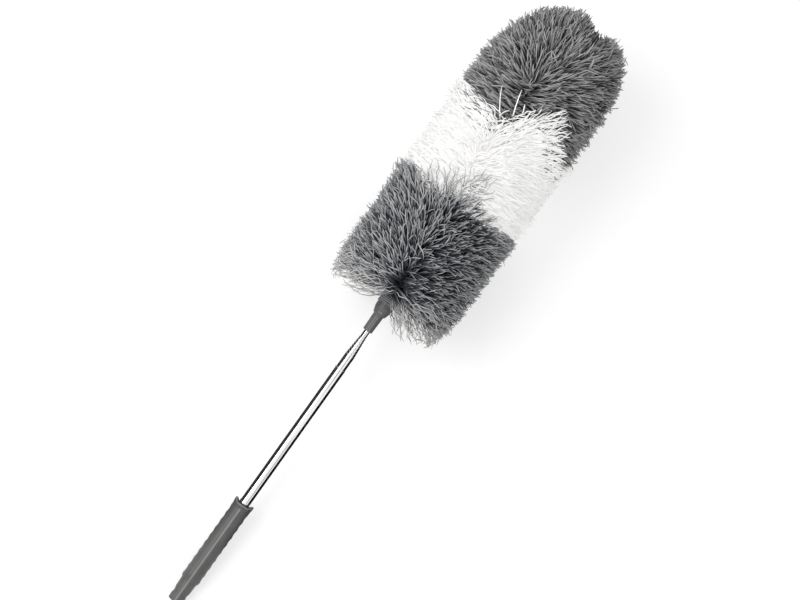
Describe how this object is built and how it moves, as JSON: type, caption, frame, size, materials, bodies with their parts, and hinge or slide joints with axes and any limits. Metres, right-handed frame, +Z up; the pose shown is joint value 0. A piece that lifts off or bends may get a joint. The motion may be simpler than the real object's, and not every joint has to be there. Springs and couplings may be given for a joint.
{
  "type": "extendable duster",
  "caption": "Duster with a moulded handle, a telescoping chromed pole and a long domed head of loose fibres in grey and white bands.",
  "frame": {"origin": "on the surface that the duster lies on, under the middle of its overall length and width", "axes": "+X from the handle towards the head along the surface, +Y to the duster's left as seen from the handle, +Z up"},
  "size_m": [0.7292, 0.1424, 0.1783],
  "materials": {
    "grey_plastic": "satin",
    "inner_plastic": "matte",
    "chromed_steel": "polished",
    "spring_brass": "satin",
    "grey_fibre": "matte",
    "white_fibre": "matte"
  },
  "bodies": {
    "handle": {"grip": "grey_plastic", "end_cap": "grey_plastic", "tube_seat": "inner_plastic", "base_plug": "inner_plastic", "tube_1": "chromed_steel"},
    "section_2": {"tube_2": "chromed_steel", "friction_sleeve_2": "spring_brass"},
    "section_3": {"tube_3": "chromed_steel", "friction_sleeve_3": "spring_brass"},
    "section_4": {"tube_4": "chromed_steel", "friction_sleeve_4": "spring_brass"},
    "section_5": {"tube_5": "chromed_steel", "friction_sleeve_5": "spring_brass"},
    "section_6": {"tube_6": "chromed_steel", "friction_sleeve_6": "spring_brass"},
    "section_7": {"tube_7": "chromed_steel", "friction_sleeve_7": "spring_brass"},
    "section_8": {"tube_8": "chromed_steel", "friction_sleeve_8": "spring_brass"},
    "section_9": {"tube_9": "chromed_steel", "friction_sleeve_9": "spring_brass", "tip_stud": "inner_plastic"},
    "head": {"connector": "grey_plastic", "core_rod": "inner_plastic", "core_cap": "inner_plastic", "neck_cuff": "grey_fibre", "lower_pile": "grey_fibre", "middle_pile": "white_fibre", "upper_pile": "grey_fibre"}
  },
  "joints": [
    {"name": "slide_2", "type": "slide", "parent": "handle", "child": "section_2", "axis": [0.9886, 0, 0.1504], "range_m": [0, 0.2327]},
    {"name": "slide_3", "type": "slide", "parent": "section_2", "child": "section_3", "axis": [0.9886, 0, 0.1504], "range_m": [0, 0.2421]},
    {"name": "slide_4", "type": "slide", "parent": "section_3", "child": "section_4", "axis": [0.9886, 0, 0.1504], "range_m": [0, 0.2377]},
    {"name": "slide_5", "type": "slide", "parent": "section_4", "child": "section_5", "axis": [0.9886, 0, 0.1504], "range_m": [0, 0.2333]},
    {"name": "slide_6", "type": "slide", "parent": "section_5", "child": "section_6", "axis": [0.9886, 0, 0.1504], "range_m": [0, 0.2289]},
    {"name": "slide_7", "type": "slide", "parent": "section_6", "child": "section_7", "axis": [0.9886, 0, 0.1504], "range_m": [0, 0.2245]},
    {"name": "slide_8", "type": "slide", "parent": "section_7", "child": "section_8", "axis": [0.9886, 0, 0.1504], "range_m": [0, 0.2201]},
    {"name": "slide_9", "type": "slide", "parent": "section_8", "child": "section_9", "axis": [0.9886, 0, 0.1504], "range_m": [0, 0.2157]},
    {"name": "head_turn", "type": "hinge", "parent": "section_9", "child": "head", "pos_m": [-0.02619, 0, 0.05913], "axis": [0.9886, 0, 0.1504], "continuous": true}
  ]
}
